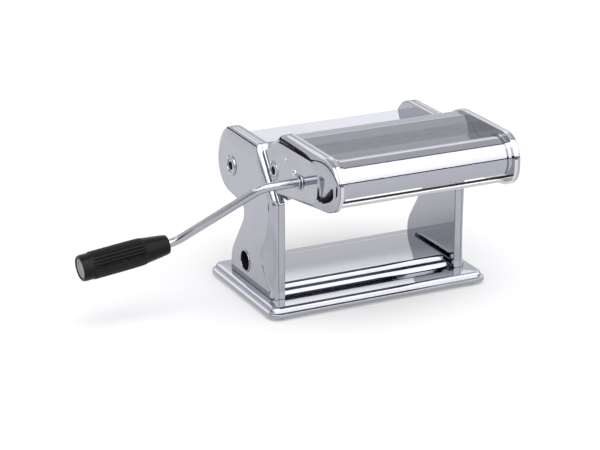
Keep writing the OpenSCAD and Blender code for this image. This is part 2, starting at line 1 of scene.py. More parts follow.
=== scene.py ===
# Hand-cranked pasta machine: chrome roller stand, lift-off twin cutter head and bent crank.
# Sizes are written in millimetres, in the frame of the CAD model, and become metres in add_piece.
import math

import bmesh
import bpy
import numpy as np
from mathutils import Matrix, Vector
from mathutils.geometry import tessellate_polygon


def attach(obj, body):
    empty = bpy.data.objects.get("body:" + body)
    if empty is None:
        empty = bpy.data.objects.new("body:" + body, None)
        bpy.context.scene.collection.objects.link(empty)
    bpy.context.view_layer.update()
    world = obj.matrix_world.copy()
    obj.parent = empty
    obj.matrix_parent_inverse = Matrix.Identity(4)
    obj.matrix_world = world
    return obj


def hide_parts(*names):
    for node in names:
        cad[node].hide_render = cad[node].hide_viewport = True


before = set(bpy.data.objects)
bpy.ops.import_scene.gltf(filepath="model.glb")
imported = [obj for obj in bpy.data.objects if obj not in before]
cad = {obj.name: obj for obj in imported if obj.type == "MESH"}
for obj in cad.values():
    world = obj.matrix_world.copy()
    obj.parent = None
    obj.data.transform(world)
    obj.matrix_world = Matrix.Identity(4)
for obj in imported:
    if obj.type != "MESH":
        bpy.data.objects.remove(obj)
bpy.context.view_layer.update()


# --- Studio -----------------------------------------------------------------------------------
# A white floor, a soft overhead light and a soft sky: bright over the front, dimmer behind,
# with a dark band along the horizon and a dark seam overhead that draw lines in the chrome.
AZIMUTH, ELEVATION = math.radians(-26.04), math.radians(19.95)
towards_camera = Vector((math.sin(AZIMUTH) * math.cos(ELEVATION),
                         -math.cos(AZIMUTH) * math.cos(ELEVATION),
                         math.sin(ELEVATION)))
camera = bpy.data.objects.new("camera", bpy.data.cameras.new("camera"))
camera.data.lens = 127.6
camera.data.sensor_width = 36
camera.data.clip_end = 100
camera.location = (-0.7858, -1.5152, 0.6681)
camera.rotation_euler = (-towards_camera).to_track_quat("-Z", "Y").to_euler()
bpy.context.scene.collection.objects.link(camera)
bpy.context.scene.camera = camera
bpy.context.scene.view_settings.view_transform = "Standard"


class Nodes:
    """Short hands for the nodes of one tree: node() makes one, link() joins two sockets."""

    def __init__(self, tree):
        self.tree = tree

    def node(self, kind, **settings):
        made = self.tree.nodes.new(kind)
        for key, value in settings.items():
            setattr(made, key, value)
        return made

    def put(self, made, values):
        """Each value is a number, a colour or vector, or the socket that feeds the input."""
        for key, value in values.items():
            if isinstance(value, bpy.types.NodeSocket):
                self.tree.links.new(value, made.inputs[key])
            else:
                made.inputs[key].default_value = value
        return made

    def math(self, operation, a, b=0.0, clamp=False):
        made = self.node("ShaderNodeMath", operation=operation, use_clamp=clamp)
        return self.put(made, {0: a, 1: b}).outputs[0]

    def step(self, value, low, high):
        """0 below low, 1 above high, and a smooth rise between them."""
        made = self.node("ShaderNodeMapRange", interpolation_type="SMOOTHSTEP")
        return self.put(made, {0: value, 1: low, 2: high, 3: 0.0, 4: 1.0}).outputs[0]

    def blend(self, factor, a, b):
        """a where the factor is 0, b where it is 1, for numbers."""
        made = self.node("ShaderNodeMix", data_type="FLOAT")
        return self.put(made, {0: factor, 2: a, 3: b}).outputs[0]

    def tint(self, factor, a, b):
        """a where the factor is 0, b where it is 1, for colours."""
        made = self.node("ShaderNodeMix", data_type="RGBA")
        return self.put(made, {0: factor, 6: a, 7: b}).outputs[2]


world = bpy.data.worlds.new("studio")
bpy.context.scene.world = world
world.use_nodes = True
world.node_tree.nodes.clear()
w = Nodes(world.node_tree)
towards = w.node("ShaderNodeTexCoord").outputs["Generated"]
# The sky's brightness by direction: outputs 0, 1 and 2 are X, Y and Z of a unit vector
part = w.put(w.node("ShaderNodeSeparateXYZ"), {0: towards}).outputs
behind = w.step(part[1], -0.02, 0.02)
back_sky = w.blend(w.step(part[2], 0.37, 0.46), 0.98, 1.9)
back_sky = w.blend(w.step(part[2], 0.52, 0.68), back_sky, 0.86)
front_sky = w.blend(w.step(part[2], 0.05, 0.5), 2.2, 2.7)
sky = w.blend(behind, front_sky, back_sky)
# A dark seam straight overhead, where the front of the sky meets its back
seam = w.math("MULTIPLY", w.step(part[1], -0.13, -0.06), w.step(part[1], 0.03, -0.02))
seam = w.math("MULTIPLY", seam, w.step(part[2], 0.6, 0.8))
sky = w.blend(seam, sky, 0.10)
# A dark band along the horizon, taller towards the left front
left_front = w.math("ADD", w.math("MULTIPLY", part[0], -0.80), w.math("MULTIPLY", part[1], -0.60))
left_front = w.step(left_front, 0.72, 0.86)
band = w.blend(left_front, 0.055, 0.16)
lit = w.step(w.math("SUBTRACT", part[2], band), 0.0, 0.03)
sky = w.blend(lit, 0.03, sky)
glow = w.put(w.node("ShaderNodeCombineColor"), {
    0: w.math("MULTIPLY", sky, 0.985), 1: w.math("MULTIPLY", sky, 0.99), 2: sky}).outputs[0]
background = w.put(w.node("ShaderNodeBackground"), {"Color": glow, "Strength": 1.0})
w.put(w.node("ShaderNodeOutputWorld"), {"Surface": background.outputs[0]})

lamp = bpy.data.objects.new("overhead", bpy.data.lights.new("overhead", "AREA"))
lamp.data.shape = "RECTANGLE"
lamp.data.size = 1.6
lamp.data.size_y = 1.1
lamp.data.energy = 12
lamp.location = (-0.5, -0.9, 1.9)
lamp.rotation_euler = (Vector((0, 0, 0.08)) - lamp.location).to_track_quat("-Z", "Y").to_euler()
bpy.context.scene.collection.objects.link(lamp)


# A black card lies on the table, out of view on the left, and darkens the round chrome noses
card_mesh = bpy.data.meshes.new("side_card")
card_mesh.from_pydata([(-0.80, -0.40, 0.0005), (-0.47, -0.40, 0.0005), (-0.38, -0.04, 0.0005),
                       (-0.80, -0.04, 0.0005)], [], [(0, 1, 2, 3)])
card = bpy.data.objects.new("side_card", card_mesh)
card.visible_camera = card.visible_diffuse = card.visible_shadow = False
bpy.context.scene.collection.objects.link(card)


def new_material(name):
    """An empty material with its node tree cleared, its short hands and its output node."""
    made = bpy.data.materials.new(name)
    made.use_nodes = True
    made.node_tree.nodes.clear()
    n = Nodes(made.node_tree)
    shader = n.node("ShaderNodeBsdfPrincipled")
    n.put(n.node("ShaderNodeOutputMaterial"), {"Surface": shader.outputs[0]})
    return made, n, shader


floor_finish, n, shader = new_material("floor_paper")
grain = n.node("ShaderNodeTexNoise")
n.put(grain, {"Vector": n.node("ShaderNodeTexCoord").outputs["Object"], "Scale": 3.0})
paper = n.tint(grain.outputs[0], (0.44, 0.44, 0.444, 1), (0.46, 0.46, 0.462, 1))
n.put(shader, {"Base Color": paper, "Roughness": 0.9, "Specular IOR Level": 0.1,
               "Emission Color": (1.0, 1.0, 1.0, 1), "Emission Strength": 0.27})
floor_mesh = bpy.data.meshes.new("floor")
floor_mesh.from_pydata([(-9, -9, 0), (9, -9, 0), (9, 9, 0), (-9, 9, 0)], [], [(0, 1, 2, 3)])
floor_mesh.materials.append(floor_finish)
floor = bpy.data.objects.new("floor", floor_mesh)
bpy.context.scene.collection.objects.link(floor)
card_finish, n, shader = new_material("black_card")
n.put(shader, {"Base Color": (0.01, 0.01, 0.01, 1), "Roughness": 0.9, "Specular IOR Level": 0.0})
card_mesh.materials.append(card_finish)


# --- Base -------------------------------------------------------------------------------------
# One pressed and chromed steel plate: a stepped rim that stands just off the table, a flat band,
# and a middle that steps up through two ridges to a gently crowned top. Open underneath.
def handling_group():
    """Traces of handling on bright metal: soft smears and hairline scratches, from three noises.

    Smear is a slow noise, squared, so that it comes in patches. Scratch is a noise stretched
    two hundred to one across a slant, kept only near its middle value, as hair-thin lines."""
    group = bpy.data.node_groups.new("handling_traces", "ShaderNodeTree")
    face = group.interface
    for key, default in (("Smear Scale", 18.0), ("Scratch Scale", 60.0)):
        face.new_socket(key, in_out="INPUT", socket_type="NodeSocketFloat").default_value = default
    for key in ("Smear", "Scratch"):
        face.new_socket(key, in_out="OUTPUT", socket_type="NodeSocketFloat")
    g = Nodes(group)
    given = g.node("NodeGroupInput").outputs
    place = g.node("ShaderNodeTexCoord").outputs["Object"]
    slow = g.put(g.node("ShaderNodeTexNoise"), {"Vector": place, "Scale": given["Smear Scale"],
                                                "Detail": 4.0, "Roughness": 0.6}).outputs[0]
    smear = g.math("POWER", g.step(slow, 0.42, 0.78), 1.6)
    turned = g.put(g.node("ShaderNodeMapping"), {"Vector": place, "Rotation": (0.5, 0.3, 0.8),
                                                 "Scale": (1.0, 14.0, 3.0)}).outputs[0]
    fine = g.put(g.node("ShaderNodeTexNoise"), {"Vector": turned, "Scale": given["Scratch Scale"],
                                                "Detail": 2.0}).outputs[0]
    line = g.math("ABSOLUTE", g.math("SUBTRACT", fine, 0.5))
    scratch = g.math("SUBTRACT", 1.0, g.step(line, 0.0, 0.02), clamp=True)
    g.put(g.node("NodeGroupOutput"), {"Smear": smear, "Scratch": scratch})
    return group


handling_traces = handling_group()


def plated_metal(name, clean, dull, low_rough, high_rough, smear_scale=18.0, scratch_scale=60.0):
    """Bright metal: its colour and roughness drift between a clean and a smeared state, and
    hairline scratches raise the roughness and dent the surface by a few hundredths of a mm."""
    made, n, shader = new_material(name)
    traces = n.node("ShaderNodeGroup")
    traces.node_tree = handling_traces
    n.put(traces, {"Smear Scale": smear_scale, "Scratch Scale": scratch_scale})
    smear, scratch = traces.outputs["Smear"], traces.outputs["Scratch"]
    rough = n.blend(smear, low_rough, high_rough)
    rough = n.math("ADD", rough, n.math("MULTIPLY", scratch, 0.035))
    dent = n.put(n.node("ShaderNodeBump"), {"Height": scratch, "Strength": 0.06,
                                            "Distance": 0.00004})
    n.put(shader, {"Base Color": n.tint(smear, clean, dull), "Metallic": 1.0,
                   "Roughness": rough, "Normal": dent.outputs[0]})
    return made


chrome = plated_metal("polished_chrome", (0.385, 0.388, 0.428, 1), (0.355, 0.358, 0.39, 1), 0.03, 0.08)


def add_piece(name, points, faces, finish, body, slot, sharp=32.0, replaces=()):
    """A mesh object from points in millimetres, with doubles merged and faces turned outwards.

    Edges that bend by more than the sharp angle, in degrees, stay crisp; the rest are smooth."""
    mesh = bpy.data.meshes.new(name)
    mesh.from_pydata((np.asarray(points, float) * 0.001).tolist(), [],
                     [face for block in faces for face in np.asarray(block).tolist()])
    work = bmesh.new()
    work.from_mesh(mesh)
    bmesh.ops.remove_doubles(work, verts=work.verts, dist=2e-6)
    bmesh.ops.recalc_face_normals(work, faces=work.faces)
    work.to_mesh(mesh)
    work.free()
    mesh.shade_smooth()
    mesh.set_sharp_from_angle(angle=math.radians(sharp))
    mesh.materials.append(finish)
    piece = bpy.data.objects.new(name, mesh)
    bpy.context.scene.collection.objects.link(piece)
    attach(piece, body)
    if replaces:
        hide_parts(*replaces)
    return piece


def grid_faces(rows, cols, wrap_rows=False, wrap_cols=True):
    """Quads of a grid of points stored row by row, with either direction closed on itself."""
    i = np.arange(rows if wrap_rows else rows - 1)[:, None]
    j = np.arange(cols if wrap_cols else cols - 1)[None, :]
    i2, j2 = (i + 1) % rows, (j + 1) % cols
    return np.stack(np.broadcast_arrays(i * cols + j, i * cols + j2, i2 * cols + j2, i2 * cols + j),
                    -1).reshape(-1, 4)


def smooth(t):
    """0 below 0, 1 above 1, and 3t^2 - 2t^3 between."""
    t = np.clip(t, 0, 1)
    return t * t * (3 - 2 * t)


def rectangle_ring(half_x, half_y, radius, per_corner=20):
    """Rectangle round the origin with round corners: each corner's arc goes round its own centre."""
    turn = np.linspace(0, np.pi / 2, per_corner)
    quarter = np.arange(4)[:, None] * np.pi / 2
    angle = quarter + turn[None, :]
    sign_x = np.array([1, -1, -1, 1])[:, None]
    sign_y = np.array([1, 1, -1, -1])[:, None]
    x = sign_x * (half_x - radius) + radius * np.cos(angle)
    y = sign_y * (half_y - radius) + radius * np.sin(angle)
    return np.stack([x.ravel(), y.ravel()], -1)


BASE_X, BASE_Y, BASE_TOP, SKIRT = 102.0, 64.0, 11.0, 2.5
PLATEAU_X, PLATEAU_Y, CROWN = 78.5, 38.0, 20.4
# Each row: half X, half Y, corner radius, height
base_rings = [(98.6, 60.6, 6.5, 3.6), (98.6, 60.6, 6.5, SKIRT + 0.1), (99.4, 61.4, 7.0, SKIRT)]
# the lowest step, a narrow ledge, the upper step, and the flat band: insets from the edge
for inset, height in ((0.6, SKIRT), (0.15, 2.8), (0.0, 3.4), (0.1, 5.2), (0.35, 5.9), (0.9, 6.3), (1.8, 6.5),
                      (2.2, 6.7), (2.35, 7.1), (2.6, 8.6), (3.0, 9.6), (3.8, 10.5), (4.8, 10.9)):
    base_rings.append((BASE_X - inset, BASE_Y - inset, 9.0 - 0.6 * inset, height))
LEDGE_ROW = 10
base_rings += [(96.4, 58.4, 6.0, BASE_TOP), (84.0, 44.0, 5.0, BASE_TOP)]
for inset, height in ((-0.6, 11.0), (0.0, 11.05), (0.7, 11.6), (1.3, 13.2), (1.9, 14.4), (2.9, 15.0),
                      (4.4, 15.2), (5.3, 15.7), (5.8, 17.0), (6.3, 18.6), (7.2, 19.4), (8.6, 19.7)):
    base_rings.append((PLATEAU_X - inset * 0.25, PLATEAU_Y - inset, 2.0, height))
for share in np.linspace(0.06, 1.0, 16):
    half_y = (PLATEAU_Y - 8.6) * (1 - share)
    rise = 19.7 + (CROWN - 19.7) * math.sin(share * math.pi / 2)
    base_rings.append((PLATEAU_X - 2.3 - 2.0 * share, max(half_y, 0.05), min(2.0, max(half_y, 0.04)), rise))
base_rings = np.array(base_rings)
ring = np.stack([rectangle_ring(a, b, r) for a, b, r, _ in base_rings])
upper = np.concatenate([ring, np.broadcast_to(base_rings[:, 3][:, None, None], ring.shape[:2] + (1,))], -1)
# The underside follows the top at 1.2 mm, from the crown out to the rim
under_rows = base_rings[LEDGE_ROW:][::-1].copy()
under_rows[:, 0] -= 1.2
under_rows[:, 1] = np.maximum(under_rows[:, 1] - 1.2, 0.04)
under_rows[:, 2] = np.minimum(under_rows[:, 2], under_rows[:, 1])
under_rows[:, 3] -= 1.2
ring = np.stack([rectangle_ring(a, b, r) for a, b, r, _ in under_rows])
under = np.concatenate([ring, np.broadcast_to(under_rows[:, 3][:, None, None], ring.shape[:2] + (1,))], -1)
base_points = np.concatenate([upper, under])
add_piece("base_pressing", base_points.reshape(-1, 3),
          [grid_faces(len(base_points), base_points.shape[1], wrap_rows=True)],
          chrome, "stand", "polished_chrome", replaces=["base_plate"])


# --- Feet and fasteners of the base -----------------------------------------------------------
# Four turned rubber feet with a dished sole, each held by a zinc-plated pan-head screw, and the
# four screws and nuts that pull the towers down on the base.
def turned(profile, origin, axis, ring_points=72, swell=None):
    """Points and quads of a turned shape: the profile (radius, distance) goes round the axis.

    swell(distance, angle) may scale the radius, as for flutes; the profile closes on itself."""
    profile = np.asarray(profile, float)
    axis = np.asarray(axis, float) / np.linalg.norm(axis)
    side = np.cross(axis, (0.0, 0.0, 1.0) if abs(axis[2]) < 0.9 else (1.0, 0.0, 0.0))
    side /= np.linalg.norm(side)
    other = np.cross(axis, side)
    angle = np.linspace(0, 2 * np.pi, ring_points, endpoint=False)
    radius = profile[:, 0][:, None] * (swell(profile[:, 1][:, None], angle[None, :]) if swell else 1.0)
    radius = np.broadcast_to(radius, (len(profile), ring_points))
    points = (np.asarray(origin, float) + profile[:, 1][:, None, None] * axis
              + radius[..., None] * (np.cos(angle)[None, :, None] * side
                                     + np.sin(angle)[None, :, None] * other))
    return points.reshape(-1, 3), grid_faces(len(profile), ring_points, wrap_rows=True)


def joined(shapes):
    """Several (points, quads) shapes as one list of points and one list of blocks of faces."""
    starts = np.cumsum([0] + [len(points) for points, _ in shapes])
    return (np.concatenate([points for points, _ in shapes]),
            [faces + start for (_, faces), start in zip(shapes, starts)])


def moulded(name, colour, worn, rough, grain_scale, grain_height, spots=0.0, gloss=0.3):
    """Moulded plastic or rubber: a fine grain in the surface, a slow drift of colour towards a
    worn tone, and a roughness that follows both. gloss is the strength of its reflections."""
    made, n, shader = new_material(name)
    place = n.node("ShaderNodeTexCoord").outputs["Object"]
    fine = n.put(n.node("ShaderNodeTexNoise"), {"Vector": place, "Scale": grain_scale,
                                                "Detail": 3.0}).outputs[0]
    slow = n.put(n.node("ShaderNodeTexNoise"), {"Vector": place, "Scale": 35.0, "Detail": 4.0}).outputs[0]
    drift = n.step(slow, 0.45, 0.8)
    tone = n.tint(drift, colour, worn)
    if spots:
        tone = n.tint(n.math("MULTIPLY", n.step(fine, 0.66, 0.74), spots), tone, worn)
    bump = n.put(n.node("ShaderNodeBump"), {"Height": fine, "Strength": 0.35, "Distance": grain_height})
    rough_value = n.math("ADD", n.blend(drift, rough, min(1.0, rough + 0.14)),
                         n.math("MULTIPLY", fine, 0.05))
    n.put(shader, {"Base Color": tone, "Roughness": rough_value, "Normal": bump.outputs[0],
                   "Specular IOR Level": gloss})
    return made


rubber = moulded("black_rubber", (0.018, 0.018, 0.019, 1), (0.045, 0.044, 0.043, 1), 0.72, 900.0, 0.00015)
foot_profile = [(2.1, 9.45), (2.1, 3.6), (3.6, 3.5), (3.75, 0.6), (4.3, 0.05), (5.6, 0.0), (6.7, 0.1),
                (7.25, 0.5), (7.45, 1.2), (7.5, 3.2), (7.62, 3.5), (7.62, 4.0), (7.55, 4.3), (7.8, 9.2),
                (7.6, 9.45)]
feet = [turned(foot_profile, (x, y, 0), (0, 0, 1)) for x in (-90, 90) for y in (-52, 52)]
add_piece("moulded_feet", *joined(feet), rubber, "stand", "black_rubber", replaces=["rubber_feet"])


def paint(finish, *names):
    """Gives a finish to CAD nodes whose shape is already right."""
    for name in names:
        for place in cad[name].material_slots:
            place.material = finish


zinc = plated_metal("zinc_hardware", (0.62, 0.63, 0.64, 1), (0.50, 0.50, 0.49, 1), 0.22, 0.38, 60.0, 140.0)
paint(zinc, "foot_screws", "base_screws", "base_nuts", "tie_rod_nuts")


# --- Towers -----------------------------------------------------------------------------------
# Each tower is two deep-drawn steel pans closed rim to rim: a chromed frame that carries the
# bearings, and a chromed cover with a wide rolled edge that runs out into the flat side.
def offset_outline(corners, insets, per_arc=14, per_edge=14):
    """Closed outline through corners (y, z, radius), each edge moved inwards by its own inset.

    A corner sits where its two moved edges meet; its arc shrinks by the mean inset on an outer
    bend and grows on an inner one. The number of points never changes, so outlines can be
    joined ring to ring."""
    p = np.array([(c[0], c[1]) for c in corners], float)
    radius = np.array([c[2] for c in corners], float)
    inset = np.asarray(insets, float)
    after = np.roll(p, -1, 0) - p
    after /= np.linalg.norm(after, axis=1)[:, None]
    before = np.roll(after, 1, 0)
    inward_after = np.stack([-after[:, 1], after[:, 0]], -1)
    inward_before = np.roll(inward_after, 1, 0)
    t_after, t_before = inset, np.roll(inset, 1)
    cross = before[:, 0] * after[:, 1] - before[:, 1] * after[:, 0]
    dot = (before * after).sum(1)
    # q = p + u, with u . inward_before = t_before and u . inward_after = t_after
    u = (inward_before * (t_before - t_after * dot)[:, None]
         + inward_after * (t_after - t_before * dot)[:, None]) / (1 - dot ** 2)[:, None]
    q = p + u
    bend = np.sign(cross)
    half = np.abs(np.arctan2(cross, dot)) / 2
    room = np.minimum(np.linalg.norm(np.roll(q, -1, 0) - q, axis=1),
                      np.linalg.norm(np.roll(q, 1, 0) - q, axis=1)) * 0.49
    r = np.clip(radius - bend * (t_before + t_after) / 2, 0.35, None)
    r = np.minimum(r, room / np.tan(half))
    centre = q + (inward_before + inward_after) / (1 + dot)[:, None] * (bend * r)[:, None]
    start = np.arctan2(*(-inward_before * bend[:, None]).T[::-1])
    share = np.linspace(0, 1, per_arc)[None, :]
    angle = start[:, None] + (bend * 2 * half)[:, None] * share
    arcs = centre[:, None, :] + r[:, None, None] * np.stack([np.cos(angle), np.sin(angle)], -1)
    along = np.linspace(0, 1, per_edge + 2)[None, 1:-1, None]
    ends = np.roll(arcs[:, 0], -1, 0)[:, None, :]
    edges = arcs[:, -1][:, None, :] * (1 - along) + ends * along
    return np.concatenate([arcs, edges], 1).reshape(-1, 2)


def circle(at, r, count=48):
    angle = np.linspace(0, 2 * np.pi, count, endpoint=False)
    return np.asarray(at, float) + r * np.stack([np.cos(angle), np.sin(angle)], -1)


def pressed_pan(outer, inner, holes=()):
    """Closed shell of a pan. outer and inner are lists of (x, ring) from rim to face, where a
    ring is an (n, 2) outline in Y and Z. holes are (centre, radius, lip) in the flat face: the
    edge of a hole rolls inwards by its lip. The two faces are filled with triangles."""
    blocks, faces, count = [], [], 0

    def add(ring, x):
        nonlocal count
        blocks.append(np.column_stack([np.broadcast_to(x, len(ring)), ring]))
        count += len(ring)
        return count - len(ring)

    def strip(rings):
        starts = [add(ring, x) for x, ring in rings]
        faces.append(grid_faces(len(rings), len(rings[0][1])) + starts[0])
        return starts

    def fill(x, rings, starts):
        loops = [[Vector((p[0], p[1], 0)) for p in ring] for ring in rings]
        lookup = np.concatenate([start + np.arange(len(ring)) for ring, start in zip(rings, starts)])
        faces.append(lookup[np.array(tessellate_polygon(loops))])

    walls = [strip(outer), strip(inner)]
    rim = np.arange(len(outer[0][1]))
    nxt = (rim + 1) % len(rim)
    faces.append(np.stack([walls[0][0] + rim, walls[0][0] + nxt, walls[1][0] + nxt, walls[1][0] + rim], -1))
    (x_out, last_out), (x_in, last_in) = outer[-1], inner[-1]
    out_loops, out_starts = [last_out], [walls[0][-1]]
    in_loops, in_starts = [last_in], [walls[1][-1]]
    step = np.sign(x_in - x_out)
    for at, r, lip in holes:
        rings = [(x_out, circle(at, r + lip + 0.6)), (x_out, circle(at, r + lip))]
        rings += [(x_out + step * lip * (1 - math.cos(a)), circle(at, r + lip * (1 - math.sin(a))))
                  for a in np.linspace(0, math.pi / 2, 5)[1:]]
        rings += [(x_in, circle(at, r))]
        starts = strip(rings)
        out_loops.append(rings[0][1])
        out_starts.append(starts[0])
        in_loops.append(rings[-1][1])
        in_starts.append(starts[-1])
    fill(x_out, out_loops, out_starts)
    fill(x_in, in_loops, in_starts)
    return np.concatenate(blocks), faces


TOWER_TOP, WAIST_Z = 137.5, 43.0
HEAD_R = (TOWER_TOP - 79.5) / 2 - 0.1
tower_corners = [(-44, 11, 0.4), (40.8, 11, 0.4), (40.8, 29, 28), (14.5, 67, 18), (14.5, 79.5, 5),
                 (67, 79.5, HEAD_R), (67, TOWER_TOP, HEAD_R), (-11.5, TOWER_TOP, 3), (-44, 95, 10)]
# The same corners where the rolled edge meets the flat side, and where it starts to flatten
side_corners = [(-35, 11.5, 1), (38.6, 11.5, 0.8), (37.4, 29, 26), (11.6, 66, 20), (11.6, 77.5, 6),
                (63.4, 83.2, HEAD_R - 3.6), (63.4, 126.3, HEAD_R - 6.5), (-14.2, 124.2, 2), (-35.5, 94.6, 9)]
shoulder_corners = [(-36, 11.3, 0.8), (39.0, 11.3, 0.6), (38.0, 29, 26.5), (12.2, 66.3, 19.5), (12.2, 78, 6),
                    (64.2, 82.4, HEAD_R - 2.8), (64.2, 129.0, HEAD_R - 4.2), (-13.6, 130.6, 2),
                    (-36.5, 94.8, 9)]


def pinched(ring, share):
    """Draws the front edge's inner line further in at the tower's waist, and less at its foot:
    a bell curve of height over the waist, fading out with the distance from the front edge."""
    y, z = ring[:, 0].copy(), ring[:, 1]
    near = smooth((-8 - y) / 14.0) * smooth((97 - z) / 16.0)
    waist = 15.0 * np.exp(-(((z - WAIST_Z) / 17.0) ** 2))
    foot = -5.0 * smooth((24 - z) / 12.0)
    y += near * share * (waist + foot)
    return np.column_stack([y, z])


def rolled_rings(rim, shoulder, side, x_rim, deep, wall, power, count=16):
    """Rings of a rolled edge, as (x, outline) for its outer and its inner face.

    From the rim to the shoulder the depth is reach to a power, nine tenths of the whole; from
    there to the flat side it grows in a straight line. power(outline) gives one for each point:
    a low one is a tight roll, a high one is nearly a bevel."""
    outer, inner = [], []
    sizes = np.ones(len(rim))
    for t in np.linspace(0, 1, count):
        reach = t ** 2.4
        for rings, inset in ((outer, 0.0), (inner, wall)):
            start, end = offset_outline(rim, sizes * inset), offset_outline(shoulder, sizes * inset)
            outline = start * (1 - reach) + end * reach
            depth = 0.9 * reach ** power(outline)
            rings.append((x_rim + (deep - inset * min(1.0, 4 * reach)) * depth, outline, reach))
    for t in (0.12, 0.5, 0.88, 1.0):
        for rings, inset in ((outer, 0.0), (inner, wall)):
            start, end = offset_outline(shoulder, sizes * inset), offset_outline(side, sizes * inset)
            rings.append((x_rim + (deep - inset) * (0.9 + 0.1 * t), start * (1 - t) + end * t, 1.0))
    return outer, inner


def tower_cover(side, holes):
    """Cover of a tower: a tight roll round the head and a long bevel down its front."""
    x_seam, x_face, wall = 86.1, 92.0, 1.2
    sizes = np.ones(9)

    def power(outline):
        front = smooth((-6 - outline[:, 0]) / 16.0) * smooth((100 - outline[:, 1]) / 16.0)
        return 0.30 + 0.34 * front

    outer = [(x_seam, offset_outline(tower_corners, 0.5 * sizes)),
             (x_seam + 0.35, offset_outline(tower_corners, 0.12 * sizes)),
             (x_seam + 0.8, offset_outline(tower_corners, 0 * sizes))]
    inner = [(x_seam, offset_outline(tower_corners, (0.5 + wall) * sizes))]
    rolled = rolled_rings(tower_corners, shoulder_corners, side_corners, x_seam + 1.2,
                          x_face - x_seam - 1.2, wall, power)
    for rings, made in zip((outer, inner), rolled):
        rings += [(x, pinched(outline, reach)) for x, outline, reach in made]
    outer.append((x_face, pinched(offset_outline(side_corners, 0.5 * sizes), 1.0)))
    inner[-1] = (x_face - wall, inner[-1][1])
    points, faces = pressed_pan(outer, inner, holes)
    points[:, 0] *= side
    return points, faces


DRIVE, CLAMP, CAM = (36.0, 105.0), (9.9, 28.3), (-14.0, 105.0)
add_piece("left_cover_pressing", *tower_cover(-1, [(DRIVE, 7.55, 0.5), (CLAMP, 9.35, 0.6)]),
          chrome, "stand", "polished_chrome", replaces=["side_cover_left"])
add_piece("right_cover_pressing",
          *tower_cover(1, [(CAM, 3.6, 0.2), ((14, 66), 1.6, 0.3), ((-32, 66), 1.6, 0.3)]),
          chrome, "stand", "polished_chrome", replaces=["side_cover_right"])


def tower_frame(side):
    """Inner pan: straight walls, a small roll of 1.6 mm, and a web with the bearing holes."""
    x_seam, x_web, wall = 85.95, 80.0, 1.5
    outer = [(x_seam, offset_outline(tower_corners, np.full(9, 0.45))),
             (x_seam - 0.4, offset_outline(tower_corners, np.full(9, 0.1))),
             (x_seam - 0.9, offset_outline(tower_corners, np.zeros(9)))]
    inner = [(x_seam, offset_outline(tower_corners, np.full(9, 0.45 + wall)))]
    for turn in np.linspace(0, np.pi / 2, 7):
        reach, depth = 1.6 * (1 - math.cos(turn)), 1.6 * math.sin(turn)
        outer.append((x_web + 1.6 - depth, offset_outline(tower_corners, np.full(9, reach))))
    inner.append((x_web + wall, offset_outline(tower_corners, np.full(9, wall + 0.2))))
    outer.append((x_web, offset_outline(tower_corners, np.full(9, 2.1))))
    # The second hole leaves room for the adjustable roller's journal to travel 2.6 mm
    holes = [(DRIVE, 7.0, 0.05), ((8.3, 105), 6.8, 0.05), (CAM, 3.6, 0.05),
             ((-31, 103), 2.15, 0.02), ((54, 93), 2.15, 0.02), ((22, 85), 2.15, 0.02)]
    points, faces = pressed_pan(outer, inner, holes)
    points[:, 0] *= side
    return points, faces


satin = plated_metal("pressed_steel", (0.58, 0.585, 0.60, 1), (0.50, 0.50, 0.51, 1), 0.10, 0.20, 25.0, 90.0)
add_piece("left_frame_pressing", *tower_frame(-1), chrome, "stand", "polished_chrome",
          replaces=["side_frame_left"])
add_piece("right_frame_pressing", *tower_frame(1), chrome, "stand", "polished_chrome",
          replaces=["side_frame_right"])
paint(zinc, "cover_screws")


# --- Clamp socket and crank bushing -----------------------------------------------------------
# A cup behind the hole low in the left tower, near black as painted shade, with its mouth rolled
# outwards, and a plated bushing with a raised ring where the crank enters to drive the smooth rollers.
# Painted shade: the cup's near-black colour stands for the shade inside the clamp hole, not for the colour of
# its steel.
socket_painted_shade = plated_metal("socket_painted_shade", (0.05, 0.05, 0.052, 1), (0.03, 0.03, 0.03, 1), 0.45, 0.7, 50.0)
cup = [(8.5, 91.6), (8.5, 82.6), (8.3, 82.5), (0.0, 82.5), (0.0, 81.6), (9.0, 81.6), (9.28, 82.0),
       (9.28, 91.6)]
add_piece("clamp_cup", *joined([turned(cup, (0, *CLAMP), (-1, 0, 0))]), socket_painted_shade, "stand",
          "pressed_steel", replaces=["clamp_socket"])
mouth = [(9.28, 91.6), (9.28, 92.0), (9.7, 92.05), (9.75, 92.35), (9.55, 92.6), (9.2, 92.7), (8.75, 92.6),
         (8.5, 92.25), (8.5, 91.6)]
add_piece("clamp_mouth", *joined([turned(mouth, (0, *CLAMP), (-1, 0, 0))]), chrome, "stand",
          "polished_chrome")
ring_profile = [(5.3, 90.1), (5.3, 93.2), (5.6, 93.65), (6.2, 93.8), (7.2, 93.7), (8.2, 93.3),
                (8.9, 92.7), (9.1, 92.15), (9.0, 92.02), (7.5, 92.0), (7.5, 90.2), (7.3, 90.0), (5.5, 90.0)]
add_piece("bushing_ring", *joined([turned(ring_profile, (0, *DRIVE), (-1, 0, 0))]), chrome, "stand",
          "crank_chrome", replaces=["crank_bushing"])


